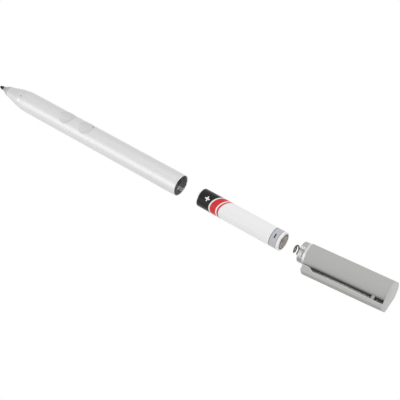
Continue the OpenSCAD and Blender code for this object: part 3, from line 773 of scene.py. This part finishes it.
shoulder_skin, _ = turned(shoulder_line, neck_angles.size)
neck_points = np.concatenate([neck_skin, shoulder_skin])
neck_faces = grid_faces(len(neck_points), neck_angles.size, row_loop=True)
lathe_marks = dict(grain=0.1, across=14, turned_by=lean, metal=1.0)
turned_bright = worked(
    "turned_bright", (0.53, 0.53, 0.53), (0.72, 0.72, 0.715), rough=(0.22, 0.34), relief=0.0015, **lathe_marks
)
cap_grey = dict(
    dark=(0.44, 0.438, 0.43), light=(0.48, 0.477, 0.468), rough=(0.55, 0.66), grain=0.3, relief=0.002,
    turned_by=lean, specular=0.2
)
warm_grey = worked("warm_grey_anodised", **cap_grey)
# Painted shade: a darker copy of the neck's metal for the undercut and the slot, where shade falls.
groove_painted_shade = worked(
    "groove_painted_shade", (0.3, 0.295, 0.29), (0.42, 0.415, 0.41), rough=(0.35, 0.5), relief=0.0015, **lathe_marks
)
bevel_bright = worked(
    "bevel_bright", (0.74, 0.74, 0.74), (0.8, 0.8, 0.8), rough=(0.48, 0.56), relief=0.0008, **lathe_marks
)
cap_lie = {"Rotation": (0, 0, -lean), "Location": (0, swing_x * MM * np.sin(lean), 0)}
# Painted shade: the neck's lower side and the lower side of its bevel are painted darker.
paint_light_strip(turned_bright, angle=190, full=14, none=34, colour=(0.38, 0.375, 0.37), lie=cap_lie)
paint_light_strip(bevel_bright, angle=195, full=8, none=40, colour=(0.5, 0.495, 0.49), lie=cap_lie)
neck_finish = np.zeros(neck_faces.shape[:2], int)
# The undercut and the slot take the painted shade.
neck_finish[:len(neck_rows) - 1][cuts[:-1] > 0.5] = 2
neck_finish[:len(neck_rows) - 1][np.broadcast_to(on_lug > 0.5, turns_up.shape)[:-1]] = 1
line_x, line_r = shoulder_line.T
bevel_rows = (line_x > bevel_x - 0.1) & (line_x < bevel_end_x + 0.1) & (line_r > bevel_low_r - 0.05)
neck_finish[len(neck_rows):][bevel_rows] = 3
cap_piece(
    "threaded_neck", (neck_points, neck_faces), [turned_bright, warm_grey, groove_painted_shade, bevel_bright], "cap",
    "neck_metal", "cap_neck", neck_finish
)
keeper_line = ring_line(61.9, neck_x, chamber_x, keeper_r, chamber_r, size=0.08)
cap_piece("spring_keeper", turned(keeper_line, 96), [dark_moulding], "cap", "dark_plastic", "contact_retainer")


# Cap tube. Drawn aluminium, blasted and anodised a warm matt grey, pressed over the neck and the end plate. The strip
# of it that the clip covers is painted dark as the clip's painted shade, growing in behind the clip's bump.
shell_end_x, clip_angle = 100.8, np.radians(201.2)
shell_line = ring_line(80, shell_end_x, shell_x, tube_r, shell_bore_r, size=0.05)
clip_shade_grey = worked("clip_shade_grey_anodised", **cap_grey)
paint_light_strip(
    clip_shade_grey, angle=np.degrees(clip_angle), full=6, none=34, colour=(0.1, 0.098, 0.095), lie=cap_lie,
    rise=(66.5, 70.5)
)
cap_piece("cap_tube", turned(shell_line, 192), [clip_shade_grey], "cap", "cap_metal", "cap_shell")


# End plate. A teardrop aluminium plate closes the cap, its grey a lighter copy of the cap's that is painted light: its
# plug is pressed into the tube, its tip carries the clip, and a post on its near side, painted darker as painted shade,
# props the clip off the tube.
clip_half_w, clip_in, clip_out, clip_corner = 2.0, 6.25, 8.1, 0.9
plate_end_x, plug_x, plug_back_x, plug_hole_r = 102.3, 97.4, 101.55, 3.0
clip_dir = np.array([0, np.cos(clip_angle), np.sin(clip_angle)])
clip_side = np.array([0, -np.sin(clip_angle), np.cos(clip_angle)])


def at_clip(x, side, height):
    """Points at x along the pen, side across the clip and height out from the axis towards the clip."""
    x, side, height = (v[..., None] for v in np.broadcast_arrays(x, side, height))
    return x * [1, 0, 0] + side * clip_side + height * clip_dir


def teardrop(inset):
    """Outline of the plate, drawn in by inset: a round corner either side of the tip and the cap's circle, each an
    arc about its own middle with its radius less inset. Straight flanks join them."""
    tip = np.array([clip_half_w - clip_corner, clip_out - clip_corner])
    flank = np.arctan2(tip[1], tip[0]) - np.arccos((tube_r - clip_corner) / np.hypot(*tip))
    right, left = np.linspace(flank, np.pi / 2, 14), np.linspace(np.pi / 2, np.pi - flank, 14)
    body = np.linspace(np.pi - flank, 2 * np.pi + flank, 150)
    arcs = ((*tip, clip_corner, right), (-tip[0], tip[1], clip_corner, left), (0, 0, tube_r, body))
    side = np.concatenate([middle + (r - inset) * np.cos(a) for middle, _, r, a in arcs])
    height = np.concatenate([middle + (r - inset) * np.sin(a) for _, middle, r, a in arcs])
    return side, height


plate_rows = [
    (shell_end_x, 0.0, 0.0), (shell_end_x, 0.1, 1.0), (shell_end_x + 0.03, 0.03, 1.0), (shell_end_x + 0.1, 0, 1.0),
    (plate_end_x - 0.28, 0, 1.0), (plate_end_x - 0.16, 0.035, 1.0), (plate_end_x - 0.06, 0.12, 1.0),
    (plate_end_x, 0.28, 1.0), (plate_end_x, 0.4, 1.0), (plate_end_x, 0.0, 0.0)
]
plate_skin = np.stack([
    at_clip(np.full(1, x), *(share * line for line in teardrop(inset))) for x, inset, share in plate_rows
])
plug_line = ring_line(99, plug_x, plug_back_x, plug_hole_r, shell_bore_r, size=0.1)


def rounded_bar(x, half_w, low, high, inner, outer, per_corner=6):
    """A bar along the clip: at each x a rectangle from low to high, 2 half_w wide, whose corners are arcs of radius
    inner on the side of the cap and outer on the other."""
    t = np.linspace(0, np.pi / 2, per_corner)
    arc = np.concatenate([t, t + np.pi / 2, t + np.pi, t + 1.5 * np.pi])
    sign_s = np.repeat([1, -1, -1, 1], per_corner)
    sign_h = np.repeat([1, 1, -1, -1], per_corner)
    x, half_w, low, high, inner, outer = (
        np.asarray(v, float).reshape(-1, 1) for v in (x, half_w, low, high, inner, outer)
    )
    corner = np.where(sign_h > 0, outer, inner)
    side = sign_s * (half_w - corner) + corner * np.cos(arc)
    height = (high + low) / 2 + sign_h * ((high - low) / 2 - corner) + corner * np.sin(arc)
    points = at_clip(x, side, height)
    return points, grid_faces(len(points), len(arc))


post_low, post_high, post_corner = 4.4, 6.55, 0.12
post_x = np.array([95.45, 95.45, 95.48, 95.55, 96.55, 96.62, 96.65, 96.65])
post_half = clip_half_w - np.array([1.9, 0.1, 0.03, 0, 0, 0.03, 0.1, 1.9])
post_edge = np.minimum(post_corner, post_half * 0.5)
post = rounded_bar(post_x, post_half, post_low, post_high, post_edge, post_edge)
plate = join((plate_skin, grid_faces(len(plate_skin), plate_skin.shape[1])), turned(plug_line, 96), post)
# Painted light and shade: the plate's grey is a lit copy of the cap's, and the post's is a shaded one that the clip's
# outer face shares.
lit_plate_grey = worked(
    "lit_plate_grey_anodised", (0.5, 0.497, 0.487), (0.545, 0.54, 0.53), rough=(0.42, 0.54), grain=0.3, relief=0.0015,
    turned_by=lean
)
shade_painted_grey = worked(
    "shade_painted_grey_anodised", (0.385, 0.382, 0.374), (0.43, 0.427, 0.418), rough=(0.5, 0.62), grain=0.3, relief=0.0015,
    along=4, turned_by=lean, specular=0.25
)
on_post = np.arange(len(plate[1])) >= len(plate[1]) - post[1].size // 4
cap_piece("cap_end", plate, [lit_plate_grey, shade_painted_grey], "cap", "cap_metal", "end_plate", on_post)


# Pocket clip. One springy bar of grey anodised aluminium, as wide as the plate's tip from which it runs forward. Its
# sides take a lighter grey as painted light, its outer face a darker one as painted shade and its inner edges a painted
# highlight. Its free end is rounded and a bump under it grips the cloth; the ends of the bend at its root are worked
# out but not used.
clip_x, bump_in, bump_edge, inner_corner, front_corner = 65.1, 4.92, 0.3, 0.4, 0.65
bend_x, bend_end_x, clip_middle = 93.0, 97.0, (clip_in + clip_out) / 2
clip_rows = np.concatenate([
    [0, 0, 0.03, 0.1, 0.2, 0.3, 0.45, 0.6, 0.75, 0.9], np.linspace(1.1, 2.5, 4), np.linspace(2.7, 5.1, 13),
    np.linspace(5.3, 26.5, 12), np.linspace(27, 33, 28), [34, 35, 35.6, 35.79, 35.9, 36.3, 36.3]
])
end_round = np.sqrt(np.clip(clip_corner ** 2 - np.clip(clip_corner - clip_rows, 0, None) ** 2, 0, None))
clip_high = clip_out - clip_corner + end_round
edge_round = bump_edge - np.sqrt(np.clip(bump_edge ** 2 - np.clip(bump_edge - clip_rows, 0, bump_edge) ** 2, 0, None))
clip_low = bump_in + (clip_in - bump_in) * ramp(clip_rows, 2.6, 5.2) + edge_round
clip_half = clip_half_w - 0.8 * edge_round
outer_corner = np.interp(clip_rows, (30, 35.6), (front_corner, clip_corner))

# Both ends close to a point, and the rows inside the plate are drawn in, so that no two faces lie in one plane.
closing, inside_plate = np.ones(len(clip_rows)), 0.9
closing[[0, -1]], closing[[-3, -2]] = 0, inside_plate
clip_mid = (clip_low + clip_high) / 2
clip_low, clip_high = (clip_mid + (edge - clip_mid) * closing for edge in (clip_low, clip_high))
per_corner = 8
clip_skin, clip_faces = rounded_bar(
    clip_x + clip_rows, clip_half * closing, clip_low, clip_high, inner_corner * closing, outer_corner * closing,
    per_corner
)
edge_painted_highlight = worked(
    "edge_painted_highlight_grey", (0.68, 0.678, 0.67), (0.75, 0.748, 0.74), rough=(0.4, 0.5), grain=0.2, relief=0.0008,
    along=4, turned_by=lean, metal=0.5
)
lit_clip_side_grey = worked(
    "lit_clip_side_grey", (0.465, 0.462, 0.453), (0.505, 0.5, 0.491), rough=(0.45, 0.57), grain=0.3, relief=0.0015,
    along=4, turned_by=lean, specular=0.4
)
# Painted light and shade: the inner corner faces take the painted highlight, the outer face the painted shade, the rest
# the lit grey.
clip_finish = np.zeros(clip_faces.shape[:2], int)
for corner in (2, 3):
    clip_finish[:, corner * per_corner:(corner + 1) * per_corner - 1] = 1
clip_finish[:, per_corner // 2 - 1:per_corner * 3 // 2] = 2
pocket_clip = cap_piece(
    "clip_spring", (clip_skin, clip_faces), [lit_clip_side_grey, edge_painted_highlight, shade_painted_grey], None, "cap_metal", "clip_bar",
    clip_finish
)
bend_from, bend_to = (askew(at_clip(x, 0.0, clip_middle)) * MM for x in (bend_x, bend_end_x))
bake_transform(pocket_clip)


# Floor and light. A white sheet under the pen, which the camera sees as white and the metal as nearly white while it
# still takes the pen's shadow, a white surround, for the metal a little darker on the left, a low softbox in front, a
# weak one overhead and a small one behind on the right.
floor_z, floor_half = -tube_r * MM, 3.0
floor_corners = [(x * floor_half, y * floor_half, floor_z) for x, y in ((-1, -1), (1, -1), (1, 1), (-1, 1))]
floor_mesh = bpy.data.meshes.new("white_sheet")
floor_mesh.from_pydata(floor_corners, [], [(0, 1, 2, 3)])
white_sheet = bpy.data.objects.new("white_sheet", floor_mesh)
bpy.context.scene.collection.objects.link(white_sheet)
sheet = bpy.data.materials.new("sheet_white")
sheet.use_nodes = True
sheet.node_tree.nodes.clear()
paths = node(sheet, "LightPath").outputs
in_metal = maths(sheet, "MULTIPLY", paths["Is Glossy Ray"], 0.93)
seen = greatest(sheet, paths["Is Camera Ray"], in_metal, paths["Is Transmission Ray"])
shade = node(sheet, "AmbientOcclusion", {"Distance": 0.012}, samples=16).outputs["AO"]
seen = maths(sheet, "MULTIPLY", seen, spread(sheet, shade, (0.09, 0.19)))
matt = node(sheet, "BsdfDiffuse", {"Color": (0.85, 0.85, 0.85, 1)}).outputs["BSDF"]
glow = node(sheet, "Emission", {"Color": (1, 1, 1, 1), "Strength": 1.0}).outputs["Emission"]
mixed = node(sheet, "MixShader", {0: seen, 1: matt, 2: glow}).outputs["Shader"]
node(sheet, "OutputMaterial", {"Surface": mixed})
floor_mesh.materials.append(sheet)

surround = bpy.data.worlds.new("white_surround")
surround.use_nodes = True
surround.node_tree.nodes.clear()
paths = node(surround, "LightPath").outputs
ray = node(surround, "SeparateXYZ", {"Vector": node(surround, "TexCoord").outputs["Generated"]}).outputs
leftward = maths(surround, "MULTIPLY_ADD", ray["Y"], -0.25, ray["X"])
in_metal = spread(surround, leftward, (-0.8, -0.45), (0.75, 0.92))
in_metal = maths(surround, "MULTIPLY", paths["Is Glossy Ray"], in_metal)
in_matt = maths(surround, "MULTIPLY", paths["Is Diffuse Ray"], 0.85)
level = greatest(surround, paths["Is Camera Ray"], paths["Is Transmission Ray"], in_metal, in_matt)
lit = node(surround, "Background", {"Color": (1, 1, 1, 1), "Strength": level}).outputs["Background"]
node(surround, "OutputWorld", {"Surface": lit})
bpy.context.scene.world = surround

look_at = np.array([11.57, -1.84, 0.0]) * MM


def facing_pen(name, data, direction, distance):
    """A lamp or camera at a distance from the pen's middle in a direction, turned to face it and held upright."""
    away = np.array(direction, float) / np.linalg.norm(direction)
    side = np.cross((0, 0, 1), away) if abs(away[2]) < 0.99 else np.array([1.0, 0, 0])
    side /= np.linalg.norm(side)
    made = bpy.data.objects.new(name, data)
    made.matrix_world = Matrix(np.vstack([
        np.stack([side, np.cross(away, side), away, look_at + away * distance], axis=1), [0, 0, 0, 1]
    ]).tolist())
    bpy.context.scene.collection.objects.link(made)
    return made


def softbox(name, direction, distance, width, height, watts):
    """A rectangular lamp that faces the pen."""
    lamp = bpy.data.lights.new(name, "AREA")
    lamp.shape, lamp.size, lamp.size_y, lamp.energy = "RECTANGLE", width, height, watts
    facing_pen(name, lamp, direction, distance)


softbox("front_softbox", (-0.46, -0.85, 0.15), distance=0.6, width=0.48, height=0.4, watts=0.49)
softbox("overhead_softbox", (0, 0, 1), distance=0.8, width=0.6, height=0.6, watts=0.4)
softbox("back_softbox", (0.75, 0.48, 0.45), distance=0.6, width=0.25, height=0.25, watts=0.35)


# Camera. It stands behind the cap and above, to the pen's right, and looks down along the pen with a long lens, so
# that the barrel runs away to the upper left.
azimuth, elevation, camera_distance, lens = np.radians(37.39), np.radians(46.10), 0.46241, 99.0
back = (np.sin(azimuth) * np.cos(elevation), -np.cos(azimuth) * np.cos(elevation), np.sin(elevation))
camera_data = bpy.data.cameras.new("camera")
camera_data.lens, camera_data.sensor_width, camera_data.clip_start = lens, 36.0, 0.01
bpy.context.scene.camera = facing_pen("camera", camera_data, back, camera_distance)
bpy.context.scene.view_settings.view_transform = "Standard"
